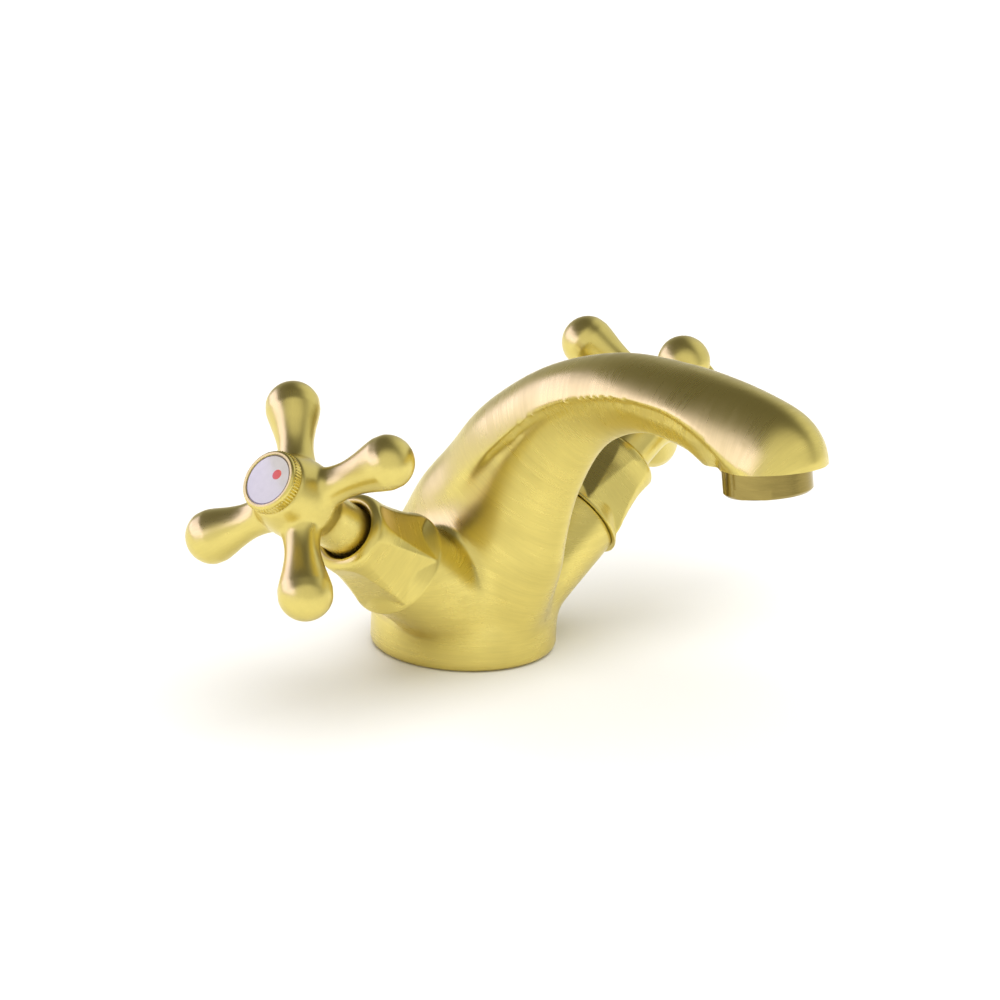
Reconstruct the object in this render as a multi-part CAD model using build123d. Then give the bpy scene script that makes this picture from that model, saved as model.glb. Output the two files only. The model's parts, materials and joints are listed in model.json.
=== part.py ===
# Two-handle basin mixer tap: a cast body with an arched spout, two raised valve branches with
# ceramic headworks, decorative hoods and cross handles, and a screw-in aerator.
# Millimetres. +Z is up, the spout reaches along -Y, and the origin is the middle of the base's
# underside. The hot side is at -X and the cold side at +X.
# Screw threads are plain cylinders at about their pitch radius.
from build123d import *
from math import cos, pi, radians, sin
import os

# ---- overall sizes ----
base_radius = 26.5          # round foot of the casting
base_height = 12.0          # straight part of the foot
spout_reach = 112.0         # base centre to aerator centre
arch_height = 102.0         # deck to the top of the spout
outlet_height = 80.5        # deck to the spout's underside at the aerator
outlet_tilt = 10.0          # the stream leans this many degrees forward
branch_angle = 35.0         # valve axis above the horizontal
branch_forward = 7.5        # valve axes lie this far in front of the base centre
branch_root_height = 8.8    # where the two valve axes cross
handle_distance = 88.3      # crossing point to the middle of the cross handle
running_gap = 0.1           # radial clearance of pieces that screw together
seat_gap = 0.05             # clearance of pieces that push or turn together
end_gap = 0.4               # left free beyond the end of a bore or a screwed piece
past = 1.0                  # cuts run this far past the face they open

# ---- foot and its ports ----
foot_edge = 1.2             # rounding under the foot
foot_shoulder = 1.5         # rounding of its top edge
gasket_inset = 2.3          # foot's edge to the gasket
gasket_width = 4.0
gasket_thickness = 2.0
inlet_radius = 4.5          # M10x1 supply port
inlet_depth = 12.0
inlet_spacing = 20.0        # between the two ports
stud_radius = 3.4           # M8 fixing stud hole
stud_depth = 16.0
stud_back = 9.0             # stud hole behind the base centre
passage_radius = 3.6        # drilled supply passages
port_overlap = 0.2          # how far a passage starts inside its port
mixing_radius = 4.0         # cross passages to the spout
waterway_radius = 5.2       # cored spout waterway
waterway_start = 14.0       # above the foot's straight part

# ---- valve branch, measured along its axis from the cross handle's middle plane ----
boss_wall = 4.3
boss_face = -46.0
chamber_radius = 10.3       # threaded bore for the headwork, G1/2
chamber_depth = 22.0
seat_hole_radius = 4.6
seat_hole_depth = 4.0

# ---- headwork, seated in the branch ----
valve_washer_width = 1.3
valve_washer_thickness = 1.0
valve_washer_sink = 1.2     # depth of the washer's recess in the branch
flange_height = 2.0
hex_inset = 1.3             # flange's edge to the hexagon's corners, about
hex_height = 4.0
collar_wall = 2.5           # threaded collar round the neck, which the hood screws on
collar_height = 7.0
neck_wall = 2.2
neck_height = 4.0
thread_height = 11.8        # below the flange
cage_room = 1.3             # water's way round the cage
cage_wall = 1.3
cage_lift = 0.4             # cage end above the chamber floor
window_width = 9.0
lug_width = 3.0             # lugs that stop the fixed disc turning
lug_length = 0.8
spindle_radius = 4.2
spline_step = 0.3           # spline's crests below the spindle's surface
spline_teeth = 20
spline_groove = 0.4
spline_length = 12.0
spindle_top = -5.0
driver_height = 2.4
driver_width = 5.4
key_width = 2.4
key_height = 1.0
disc_gap = 0.2              # discs inside the cage
disc_thickness = 3.0
port_inner_radius = 2.4     # sector ports in the ceramic discs
port_rim = 1.3
port_angle = 76.0
seat_seal_thickness = 2.0
seat_seal_width = 2.85
thrust_washer_thickness = 0.6
oring_depth = 0.9
oring_width = 1.4
clip_thickness = 0.8
clip_reach = 1.6            # beyond the spindle
clip_groove_depth = 0.7
clip_opening = 2.4

# ---- hood ----
mouth_gap = 0.8             # round the handle's stem
mouth_wall = 3.3
hood_mouth = -21.5
hood_rear_overhang = 0.6    # beyond the branch
hood_cavity_gap = 0.5       # round the headwork's flange
hood_turn = 17.3            # first corner of the hexagon
# the bell's outline: share of its length from the mouth, share of the way from lip to rear radius
hood_bell = [(0, -0.43), (0.1, 0), (0.35, 0.08), (0.6, 0.38), (0.8, 0.73), (1, 1)]
flat_depth_mouth = 0.5      # how deep the flats cut at the mouth and at the rear
flat_depth_rear = 2.1
flare_length = 4.0
flare_rim = 0.5

# ---- cross handle ----
stem_radius = 7.3
stem_end = -27.0
hub_radius = 12.0
hub_back = -9.0
hub_widest = -1.0
hub_front = 10.8
button_overhang = 0.45      # hub's front inside the button's edge
arms = 4
arm_turn = 37.5
arm_reach = 29.2            # handle middle to ball centre
ball_radius = 7.7
arm_root_radius = 6.1
arm_neck_radius = 5.1
arm_neck_reach = 16.0
web_thickness = 4.0         # wall that the handle screw clamps
plug_radius = 6.0           # socket for the index button
plug_length = 5.0
spline_clearance = 0.5
screw_radius = 2.0          # M4
screw_clearance = 0.2
screw_head_radius = 3.6
screw_head_height = 2.6
screw_length = 14.0
screw_key_flats = 2.5
screw_key_depth = 1.6

# ---- index button ----
button_radius = 8.75
button_height = 3.6
button_edge = 0.7
button_knurls = 60
knurl_depth = 0.3
button_rim = 1.25           # brass rim round the enamel
enamel_thickness = 0.8
dot_radius = 1.45
dot_offset = 3.2
dot_turn = 41.0
dot_thickness = 0.25
dot_gap = 0.01

# ---- aerator, measured along the stream from the spout's underside ----
aerator_thread_radius = 11.5
aerator_shoulder = 0.65     # housing beyond its thread
aerator_drop = 5.8
aerator_thread_height = 6.0
aerator_wall = 1.6
aerator_lip = 0.7
aerator_lip_height = 1.0
aerator_edge = 0.6
wrench_flat_depth = 0.95
wrench_flat_height = 2.6
nose_wall = 1.45            # spout beyond the aerator housing
nose_flat = 10.8            # the nose is faced this far beyond the aerator housing
washer_height = 1.6
insert_ring_width = 0.8
insert_rib = 0.6
insert_ribs = 4
insert_rib_height = 0.6     # share of the insert's height
screen_thickness = 0.8
screen_hole_radius = 0.6
screen_pitch = 2.4

# ---- sizes that follow ----
gasket_outer_radius = base_radius - gasket_inset
gasket_inner_radius = gasket_outer_radius - gasket_width
boss_radius = chamber_radius + boss_wall
counterbore_radius = chamber_radius + valve_washer_width
flange_radius = counterbore_radius - 3 * running_gap
hex_flats = 2 * (flange_radius - hex_inset)
neck_radius = spindle_radius + neck_wall
collar_radius = neck_radius + collar_wall
cage_radius = chamber_radius - cage_room
cage_bore_radius = cage_radius - cage_wall
disc_radius = cage_bore_radius - disc_gap
lug_reach = disc_radius + lug_length
port_outer_radius = disc_radius - port_rim
seat_seal_bore = cage_bore_radius - seat_gap - seat_seal_width
spline_radius = spindle_radius - spline_step
spline_clearance_radius = spindle_radius + spline_clearance
clip_radius = spindle_radius + clip_reach
mouth_radius = stem_radius + mouth_gap
lip_radius = mouth_radius + mouth_wall
hood_rear_radius = boss_radius + hood_rear_overhang
hood_cavity_radius = flange_radius + hood_cavity_gap
hub_front_radius = button_radius + button_overhang
enamel_radius = button_radius - button_rim
aerator_radius = aerator_thread_radius + aerator_shoulder
aerator_bore_radius = aerator_thread_radius - aerator_wall
aerator_lip_radius = aerator_bore_radius - aerator_lip
wrench_flats = 2 * (aerator_radius - wrench_flat_depth)
cap_half_width = aerator_radius + nose_wall
nose_flat_radius = aerator_radius + nose_flat
socket_depth = aerator_thread_height + washer_height + end_gap

os.makedirs("parts", exist_ok=True)


def save(shape, name):
    """Writes one node."""
    export_step(shape, f"parts/{name}.step")


# ---- spout and column sections ----
# Each station: how far the back (ridge) and the front (keel) have travelled from the foot to the
# outlet and how high each is, then the cap's width, the cap's depth and the column's width.
# Travel 0 is the foot's own edge and 1 is over the outlet. Height 0 is the foot's top and 1 the
# top of the arch. Widths and depths are shares of the cap's half width, and below the cap the
# column's width is a share of the foot's radius.
stations = [
    # ridge        keel            cap           column
    # out   up     out    up       wide  deep    wide
    (0.012, -0.07, -0.020, -0.07, 0.00, 0.00, 0.935),
    (0.030, 0.110, 0.070, 0.095, 0.00, 0.00, 0.868),
    (0.105, 0.325, 0.175, 0.300, 1.07, 0.59, 1.28),
    (0.168, 0.470, 0.211, 0.400, 1.06, 0.55, 1.09),
    (0.262, 0.660, 0.262, 0.560, 1.03, 0.52, 0.91),
    (0.419, 0.862, 0.374, 0.689, 1.00, 0.50, 0.82),
    (0.600, 0.976, 0.550, 0.763, 0.99, 0.47, 0.76),
    (0.798, 1.000, 0.725, 0.756, 1.00, 0.50, 0.76),
    (0.920, 0.981, 0.836, 0.728, 1.01, 0.72, 0.79),
    (1.014, 0.940, 0.977, 0.745, 0.99, 0.99, 0.82),
    (1.090, 0.877, 1.094, 0.756, 0.85, 0.69, 0.00),
    (1.130, 0.833, 1.181, 0.767, 0.41, 0.32, 0.00),
]
table_outlet = 68.5 / 90    # the outlet's height in this table
cap_start = 2
column_stations = 10
quarter_points = 4
cap_squareness = 2.15       # 2 is an ellipse
column_squareness = 2.5
column_tuck = 0.7           # how far the column's back hides inside the cap
waterway_stations = slice(3, 9)
waterway_level = 0.47       # from the ridge towards the keel


def level(travel, height):
    """Height above the deck; towards the outlet it also follows the outlet's own height."""
    rise = arch_height - base_height
    shift = outlet_height - (base_height + table_outlet * rise)
    return base_height + height * rise + shift * min(1, max(0, travel))


def ridge_point(station):
    y = base_radius - station[0] * (base_radius + spout_reach)
    return Vector(0, y, level(station[0], station[1]))


def keel_point(station):
    y = -base_radius - station[2] * (spout_reach - base_radius)
    return Vector(0, y, level(station[2], station[3]))


def oval(half_wide, half_deep, squareness):
    """Closed superellipse in four quarter arcs; squareness 2 is an ellipse."""
    quarter = []
    for i in range(quarter_points + 1):
        turn = pi / 2 * i / quarter_points
        across, along = abs(cos(turn)) ** (2 / squareness), sin(turn) ** (2 / squareness)
        quarter.append((half_wide * across, half_deep * along))
    arcs = []
    for x_way, y_way in ((1, 1), (-1, 1), (-1, -1), (1, -1)):
        points = [(x * x_way, y * y_way) for x, y in quarter]
        arcs.append(Spline(*points, tangents=[(0, y_way), (-x_way, 0)]))
    return make_face(arcs)


def section_plane(centre, downward):
    """Plane across the spout: its x is the tap's X and its y points from keel to ridge."""
    return Plane(origin=centre, x_dir=(1, 0, 0), z_dir=Vector(1, 0, 0).cross(-downward))


def cap_section(station):
    ridge = ridge_point(station)
    downward = (keel_point(station) - ridge).normalized()
    half_wide, half_deep = (share * cap_half_width for share in station[4:6])
    return section_plane(ridge + downward * half_deep, downward) * oval(half_wide, half_deep, cap_squareness)


def column_half_width(number):
    """Below the cap the column's width is a share of the foot's radius."""
    whole = base_radius if number < cap_start else cap_half_width
    return stations[number][6] * whole


def column_section(number):
    station = stations[number]
    ridge, keel = ridge_point(station), keel_point(station)
    downward = (keel - ridge).normalized()
    tucked = min(1, max(0, number - cap_start + 1) / 2)
    half_wide = column_half_width(number)
    rear = ridge + downward * station[5] * cap_half_width * column_tuck * tucked
    plane = section_plane((rear + keel) * 0.5, downward)
    squareness = 2 + (column_squareness - 2) * tucked
    return plane * oval(half_wide, (keel - rear).length / 2, squareness)




outlet = Plane(
    origin=(0, -spout_reach, outlet_height),
    x_dir=(1, 0, 0),
    z_dir=(0, -sin(radians(outlet_tilt)), -cos(radians(outlet_tilt))),
)
branch_out = handle_distance * cos(radians(branch_angle))
branch_up = branch_root_height + handle_distance * sin(radians(branch_angle))
sides = {
    name: Plane(
        origin=(way * branch_out, -branch_forward, branch_up),
        x_dir=(0, way, 0),
        z_dir=(way * cos(radians(branch_angle)), 0, sin(radians(branch_angle))),
    )
    for name, way in (("hot", -1), ("cold", 1))
}


def rod(radius, low, high):
    """Cylinder about the local axis between two heights."""
    return Pos(0, 0, (low + high) / 2) * Cylinder(radius, high - low)


def ring(outer, inner, low, high):
    return rod(outer, low, high) - rod(inner, low - past, high + past)


def turned(*outline):
    """Solid of revolution about the local axis from (radius, height) corners."""
    return revolve(Plane.XZ * make_face(Polyline(*outline, close=True)), Axis.Z)


def hexagon(flats, low, high):
    return Pos(0, 0, low) * extrude(RegularPolygon(flats / 2, 6, major_radius=False), high - low)


def tube_between(start, end, radius):
    """Straight round passage from one point to another."""
    start, end = Vector(*start), Vector(*end)
    way = end - start
    return Plane(origin=start, z_dir=way) * rod(radius, 0, way.length)


def branch_point(side, height):
    return sides[side].from_local_coords((0, 0, height))


# ---- body casting ----
def build_body():
    foot = fillet(rod(base_radius, 0, base_height).edges().sort_by(Axis.Z)[0], foot_edge)
    foot = fillet(foot.edges().sort_by(Axis.Z)[-1], foot_shoulder)
    column = loft([column_section(i) for i in range(column_stations)])
    cap = loft([cap_section(s) for s in stations[cap_start:]])
    body = foot + column + cap
    for side in sides:
        body += sides[side] * rod(boss_radius, -handle_distance + boss_radius / 2, boss_face)
    below_deck = rod(spout_reach, -arch_height, 0)
    under_nose = outlet * rod(nose_flat_radius, 0, nose_flat_radius)
    body -= below_deck + under_nose
    # aerator socket
    body -= outlet * rod(aerator_thread_radius + running_gap, -socket_depth, past)
    # spout waterway, from over the valves to the socket
    start = Vector(0, -branch_forward - mixing_radius, base_height + waterway_start)
    course = [start]
    for station in stations[waterway_stations]:
        ridge = ridge_point(station)
        course.append(ridge + (keel_point(station) - ridge) * waterway_level)
    course.append(outlet.from_local_coords((0, 0, -socket_depth + past)))
    path = Spline(*course)
    body -= sweep(Plane(origin=path @ 0, z_dir=path % 0) * Circle(waterway_radius), path)
    for side, way in (("hot", -1), ("cold", 1)):
        body -= sides[side] * rod(chamber_radius, chamber_floor, boss_face + past)
        body -= sides[side] * rod(counterbore_radius, boss_face - valve_washer_sink, boss_face + past)
        body -= sides[side] * rod(seat_hole_radius, chamber_floor - seat_hole_depth, chamber_floor + past)
        inlet_x = way * inlet_spacing / 2
        body -= Pos(inlet_x, -branch_forward, 0) * rod(inlet_radius, -past, inlet_depth)
        port_top = (inlet_x, -branch_forward, inlet_depth - port_overlap)
        below_seat = branch_point(side, chamber_floor - seat_hole_depth / 2)
        body -= tube_between(port_top, below_seat, passage_radius)
        above_seat = branch_point(side, chamber_floor + seat_seal_thickness + mixing_radius)
        body -= tube_between(above_seat, start + Vector(0, 0, mixing_radius), mixing_radius)
    body -= Pos(0, stud_back, 0) * rod(stud_radius, -past, stud_depth)
    groove = ring(gasket_outer_radius + seat_gap, gasket_inner_radius - seat_gap, -past, gasket_thickness)
    return body - groove


# ---- aerator ----
def build_aerator():
    housing = rod(aerator_radius, 0, aerator_drop)
    housing = chamfer(housing.edges().sort_by(Axis.Z)[-1], aerator_edge)
    notched = Pos(0, 0, aerator_drop - wrench_flat_height / 2) * Box(
        wrench_flats, 4 * aerator_radius, wrench_flat_height
    )
    housing = (housing & (rod(aerator_radius, 0, aerator_drop - wrench_flat_height) + notched))
    housing += rod(aerator_thread_radius, -aerator_thread_height, 0)
    housing -= rod(aerator_bore_radius, -aerator_thread_height - past, aerator_drop - aerator_lip_height)
    return housing - rod(aerator_lip_radius, 0, aerator_drop + past)


def build_insert():
    low, high = -aerator_thread_height + screen_thickness, aerator_drop - aerator_lip_height - seat_gap
    outer = aerator_bore_radius - seat_gap
    insert = ring(outer, outer - insert_ring_width, low, high)
    middle, tall = (low + high) / 2, (high - low) * insert_rib_height
    pitch = 2 * outer / (insert_ribs + 1)
    for i in range(insert_ribs):
        offset = -outer + pitch * (i + 1)
        insert += Pos(offset, 0, middle) * Box(insert_rib, 2 * outer, tall) & rod(outer, low, high)
        insert += Pos(0, offset, middle) * Box(2 * outer, insert_rib, tall) & rod(outer, low, high)
    return insert


def build_screen():
    outer = aerator_bore_radius - seat_gap
    low, high = -aerator_thread_height, screen_thickness - aerator_thread_height
    screen = rod(outer, low, high)
    reach = outer - 2 * screen_hole_radius
    across = 2 * int(outer / screen_pitch) + 1
    for spot in GridLocations(screen_pitch, screen_pitch, across, across):
        if spot.position.length < reach:
            screen -= Pos(spot.position) * rod(screen_hole_radius, low - past, high + past)
    return screen


# ---- headwork pieces, in the branch's own frame ----
chamber_floor = boss_face - chamber_depth
flange_low = boss_face - valve_washer_sink + valve_washer_thickness
hex_low = flange_low + flange_height
collar_low = hex_low + hex_height
neck_low = collar_low + collar_height
neck_top = neck_low + neck_height
fixed_disc_low = chamber_floor + seat_seal_thickness
moving_disc_low = fixed_disc_low + disc_thickness + seat_gap
driver_low = moving_disc_low + disc_thickness
washer_low = driver_low + driver_height
shoulder = washer_low + thrust_washer_thickness + seat_gap


def sectors(turn, low, high):
    """The two opposed ports of a ceramic disc."""
    ports = []
    for start in (turn - port_angle / 2, turn + 180 - port_angle / 2):
        outer = CenterArc((0, 0), port_outer_radius, start, port_angle)
        inner = CenterArc((0, 0), port_inner_radius, start, port_angle)
        sides_of_port = [Line(inner @ 0, outer @ 0), Line(inner @ 1, outer @ 1)]
        port = make_face([outer, inner, *sides_of_port])
        ports.append(Pos(0, 0, low) * extrude(port, high - low))
    return ports[0] + ports[1]


def build_housing():
    housing = rod(flange_radius, flange_low, hex_low) + hexagon(hex_flats, hex_low, collar_low)
    housing += rod(collar_radius, collar_low, neck_low) + rod(neck_radius, neck_low, neck_top)
    housing += rod(chamber_radius - running_gap, flange_low - thread_height, flange_low)
    housing += rod(cage_radius, chamber_floor + cage_lift, flange_low - thread_height)
    housing -= rod(spindle_radius + seat_gap, chamber_floor - past, neck_top + past)
    housing -= rod(cage_bore_radius, chamber_floor - past, shoulder)
    window = (moving_disc_low, shoulder - thrust_washer_thickness)
    housing -= Pos(0, 0, sum(window) / 2) * Box(window_width, 4 * cage_radius, window[1] - window[0])
    slot = (chamber_floor - past, fixed_disc_low + disc_thickness)
    housing -= Pos(0, 0, sum(slot) / 2) * Box(
        4 * cage_radius, lug_width + 2 * seat_gap, slot[1] - slot[0]
    ) & rod(lug_reach + seat_gap, *slot)
    return housing


def build_fixed_disc():
    high = fixed_disc_low + disc_thickness
    disc = rod(disc_radius, fixed_disc_low, high)
    lugs = Pos(0, 0, fixed_disc_low + disc_thickness / 2) * Box(4 * lug_reach, lug_width, disc_thickness)
    disc += lugs & rod(lug_reach, fixed_disc_low, high)
    return disc - sectors(0, fixed_disc_low - past, high + past)


def build_moving_disc():
    disc = rod(disc_radius, moving_disc_low, driver_low)
    disc -= sectors(90, moving_disc_low - past, driver_low + past)
    groove = Box(3 * disc_radius, key_width + 2 * seat_gap, 2 * key_height + 2 * seat_gap)
    return disc - Pos(0, 0, driver_low) * groove


def splined(radius, low, high):
    """Round bar with fine lengthwise teeth."""
    points = []
    for i in range(2 * spline_teeth):
        reach = radius - spline_groove * (i % 2)
        turn = pi * i / spline_teeth
        points.append((reach * cos(turn), reach * sin(turn)))
    return Pos(0, 0, low) * extrude(make_face(Polyline(*points, close=True)), high - low)


oring_middles = [collar_low + collar_height * share for share in (0.3, 0.8)]


def build_spindle():
    spline_end = spindle_top - spline_length
    spindle = rod(spindle_radius, driver_low, spline_end) + splined(spline_radius, spline_end, spindle_top)
    bar = Pos(0, 0, driver_low + driver_height / 2) * Box(3 * disc_radius, driver_width, driver_height)
    spindle += bar & rod(disc_radius, driver_low, washer_low)
    key = Pos(0, 0, driver_low - key_height / 2) * Box(3 * disc_radius, key_width, key_height)
    spindle += key & rod(disc_radius, driver_low - key_height, driver_low)
    for middle in oring_middles:
        spindle -= ring(spindle_radius + past, spindle_radius - oring_depth, middle - oring_width / 2,
                        middle + oring_width / 2)
    spindle -= ring(spindle_radius + past, spindle_radius - clip_groove_depth, neck_top + seat_gap,
                    neck_top + seat_gap + clip_thickness)
    screw_hole_depth = screw_length - web_thickness + end_gap
    return spindle - rod(screw_radius, spindle_top - screw_hole_depth, spindle_top + past)


def build_orings():
    rings = []
    for middle in oring_middles:
        rings.append(ring(spindle_radius + seat_gap / 2, spindle_radius - oring_depth,
                          middle - oring_width / 2, middle + oring_width / 2))
    return rings


def build_circlip():
    low = neck_top + seat_gap
    clip = ring(clip_radius, spindle_radius - clip_groove_depth + seat_gap, low, low + clip_thickness)
    opening = Box(2 * clip_radius, clip_opening, 2 * clip_thickness)
    return clip - Pos(clip_radius, 0, low + clip_thickness / 2) * opening


# ---- hood ----
def hood_outline(depth_mouth, depth_rear):
    """Half outline of the bell, cut back by a depth that grows from the mouth to the rear."""
    height = hood_mouth - boss_face
    points = []
    for along, swell in hood_bell:
        radius = lip_radius + (hood_rear_radius - lip_radius) * swell
        cut = depth_mouth + (depth_rear - depth_mouth) * along
        points.append((radius - cut, hood_mouth - height * along))
    return points


def build_hood():
    outer = hood_outline(0, 0)
    bell = revolve(Plane.XZ * make_face([
        Spline(*outer), Polyline(outer[-1], (0, boss_face), (0, hood_mouth), outer[0])
    ]), Axis.Z)
    flat = hood_outline(flat_depth_mouth, flat_depth_rear)
    half = Plane.XZ * make_face([
        Spline(*flat), Polyline(flat[-1], (0, boss_face), (0, hood_mouth), flat[0])
    ])
    slab = extrude(half, 2 * hood_rear_radius, both=True)
    slab += mirror(slab, Plane.YZ)
    hood = bell
    for i in range(3):
        hood = hood & Rot(0, 0, hood_turn + 30 + 60 * i) * slab
    flat_rear = hood_rear_radius - flat_depth_rear
    hood += turned(
        (0, boss_face), (hood_rear_radius, boss_face), (hood_rear_radius, boss_face + flare_rim),
        (flat_rear - end_gap, boss_face + flare_length), (0, boss_face + flare_length),
    )
    hood -= rod(mouth_radius, boss_face - past, hood_mouth + past)
    hood -= rod(collar_radius + running_gap, boss_face - past, neck_low + end_gap)
    return hood - rod(hood_cavity_radius, boss_face - past, collar_low + end_gap)


# ---- cross handle ----
web_low = spindle_top + end_gap
web_top = web_low + web_thickness


def build_handle():
    hub = revolve(Plane.XZ * make_face([
        Spline((stem_radius, hub_back), (hub_radius, hub_widest), (hub_front_radius, hub_front),
               tangents=[(0.3, 1), (-0.25, 1)]),
        Polyline((hub_front_radius, hub_front), (0, hub_front), (0, hub_back), (stem_radius, hub_back)),
    ]), Axis.Z)
    handle = hub + rod(stem_radius, stem_end, hub_back)
    tip = arm_reach + ball_radius
    arm_outline = make_face([
        Spline((0, arm_root_radius), (arm_neck_reach, arm_neck_radius), (arm_reach, ball_radius),
               tangents=[(1, 0), (1, 0)]),
        RadiusArc((arm_reach, ball_radius), (tip, 0), ball_radius),
        Polyline((tip, 0), (0, 0), (0, arm_root_radius)),
    ])
    arm = revolve(arm_outline, Axis.X)
    for i in range(arms):
        handle += Rot(0, 0, arm_turn + 360 / arms * i) * arm
    handle -= rod(plug_radius, web_top, hub_front + past)
    handle -= rod(screw_radius + screw_clearance, web_low - past, web_top + past)
    handle -= rod(spline_clearance_radius, stem_end - past, spindle_top - spline_length)
    return handle - splined(spline_radius + seat_gap, spindle_top - spline_length - past, web_low)


def build_screw():
    screw = rod(screw_head_radius, web_top, web_top + screw_head_height)
    screw = fillet(screw.edges().sort_by(Axis.Z)[-1], screw_head_height / 3)
    screw += rod(screw_radius - seat_gap, web_top - screw_length, web_top)
    head_top = web_top + screw_head_height
    return screw - hexagon(screw_key_flats, head_top - screw_key_depth, head_top + past)


def build_button():
    rim_top = hub_front + button_height
    points = []
    for i in range(2 * button_knurls):
        reach = button_radius - knurl_depth * (i % 2)
        turn = pi * i / button_knurls
        points.append((reach * cos(turn), reach * sin(turn)))
    button = Pos(0, 0, hub_front) * extrude(make_face(Polyline(*points, close=True)), button_height)
    button &= turned(
        (0, hub_front), (button_radius - button_edge / 2, hub_front),
        (button_radius, hub_front + button_edge / 2), (button_radius, rim_top - button_edge),
        (button_radius - button_edge, rim_top), (0, rim_top),
    )
    button += rod(plug_radius - seat_gap, hub_front - plug_length, hub_front)
    return button - rod(enamel_radius, rim_top - enamel_thickness, rim_top + past)


def build_enamel():
    rim_top = hub_front + button_height
    enamel = rod(enamel_radius - seat_gap, rim_top - enamel_thickness, rim_top)
    return enamel - dot_place() * rod(dot_radius, -dot_thickness, past)


def dot_place():
    turn = radians(dot_turn)
    return Pos(dot_offset * cos(turn), dot_offset * sin(turn), hub_front + button_height)


# ---- write every node ----
save(build_body(), "body_casting")
save(ring(gasket_outer_radius, gasket_inner_radius, 0, gasket_thickness), "base_gasket")
save(outlet * build_aerator(), "aerator_housing")
save(outlet * ring(aerator_thread_radius - seat_gap, aerator_lip_radius,
                   -aerator_thread_height - washer_height, -aerator_thread_height), "aerator_washer")
save(outlet * build_insert(), "aerator_insert")
save(outlet * build_screen(), "aerator_screen")

valve_pieces = {
    "valve_housing": build_housing(),
    "valve_washer": ring(counterbore_radius - seat_gap, chamber_radius + seat_gap,
                         boss_face - valve_washer_sink, flange_low),
    "seat_seal": ring(cage_bore_radius - seat_gap, seat_seal_bore, chamber_floor, fixed_disc_low),
    "fixed_disc": build_fixed_disc(),
    "moving_disc": build_moving_disc(),
    "thrust_washer": ring(disc_radius, spindle_radius + seat_gap, washer_low,
                          washer_low + thrust_washer_thickness),
    "spindle": build_spindle(),
    "spindle_orings": build_orings(),
    "spindle_circlip": build_circlip(),
    "hood": build_hood(),
    "handle": build_handle(),
    "handle_screw": build_screw(),
    "index_button": build_button(),
    "index_disc": build_enamel(),
    "index_dot": dot_place() * rod(dot_radius - dot_gap, -dot_thickness, 0),
}
for side, place in sides.items():
    for name, piece in valve_pieces.items():
        if isinstance(piece, list):
            save(Compound(children=[place * solid for solid in piece]), f"{side}_{name}")
        else:
            save(place * piece, f"{side}_{name}")
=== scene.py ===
import json
from math import atan2, cos, pi, radians, sin, sqrt

import bmesh
import bpy
from mathutils import Matrix, Vector

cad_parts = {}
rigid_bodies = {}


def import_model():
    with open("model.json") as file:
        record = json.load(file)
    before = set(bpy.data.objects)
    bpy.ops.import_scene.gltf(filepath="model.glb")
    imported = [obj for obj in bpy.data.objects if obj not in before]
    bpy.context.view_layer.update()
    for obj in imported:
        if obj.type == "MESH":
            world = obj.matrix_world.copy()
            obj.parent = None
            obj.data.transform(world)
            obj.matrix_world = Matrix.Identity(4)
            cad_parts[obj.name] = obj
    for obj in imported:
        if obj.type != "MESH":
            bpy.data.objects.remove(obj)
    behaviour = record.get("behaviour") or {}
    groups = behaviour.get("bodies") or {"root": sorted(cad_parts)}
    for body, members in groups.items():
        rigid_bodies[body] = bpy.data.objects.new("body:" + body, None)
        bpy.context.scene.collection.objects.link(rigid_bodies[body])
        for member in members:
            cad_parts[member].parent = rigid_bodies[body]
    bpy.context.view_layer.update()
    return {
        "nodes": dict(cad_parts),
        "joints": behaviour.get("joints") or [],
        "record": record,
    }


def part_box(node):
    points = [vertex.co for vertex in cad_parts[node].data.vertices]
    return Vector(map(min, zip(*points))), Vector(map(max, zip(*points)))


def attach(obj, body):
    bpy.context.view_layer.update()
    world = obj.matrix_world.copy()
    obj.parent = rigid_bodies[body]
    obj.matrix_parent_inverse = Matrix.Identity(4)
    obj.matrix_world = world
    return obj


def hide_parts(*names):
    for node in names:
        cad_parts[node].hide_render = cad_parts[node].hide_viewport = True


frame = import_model()
mm = 0.001
roundCorners = 96        # corners of a plain round
sameSpot = 1e-7          # corners nearer than this are one
leastSlant = 0.5         # keeps a flat's reach short far round from it
print("frame loaded:", len(frame["nodes"]), "nodes")

# places read from the frame
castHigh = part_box("body_casting")[1]
mounts = {m["name"]: m for m in frame["record"]["mounts"]}
outletWay = Vector(mounts["outlet"]["axis"]).normalized()      # the way the water leaves
outletMouth = Vector(mounts["outlet"]["pos_m"])
footRadius = castHigh.y
archTop = castHigh.z


def branchMatrix(joint):
    # local z leaves the valve, the cross handle's middle is the origin
    out = Vector(joint["axis"]).normalized()
    across = Vector((0, 0, 1)).cross(out).normalized()
    up = out.cross(across)
    place = Matrix((across, up, out)).transposed().to_4x4()
    place.translation = Vector(joint["pos_m"])
    return place


sides = {j["child"].split("_")[0]: j for j in frame["joints"]}
branch = {side: branchMatrix(j) for side, j in sides.items()}
rootBody = frame["joints"][0]["parent"]


def smoothRows(rows, steps):
    # a smooth curve through every row, steps points to each gap
    out = []
    for i in range(len(rows) - 1):
        a, b = rows[max(i - 1, 0)], rows[i]
        c, d = rows[i + 1], rows[min(i + 2, len(rows) - 1)]
        for k in range(steps):
            t = k / steps
            out.append([
                0.5 * (2 * q + (r - p) * t + (2 * p - 5 * q + 4 * r - s) * t**2
                       + (3 * q - p - 3 * r + s) * t**3)
                for p, q, r, s in zip(a, b, c, d)
            ])
    return out + [list(rows[-1])]


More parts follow.
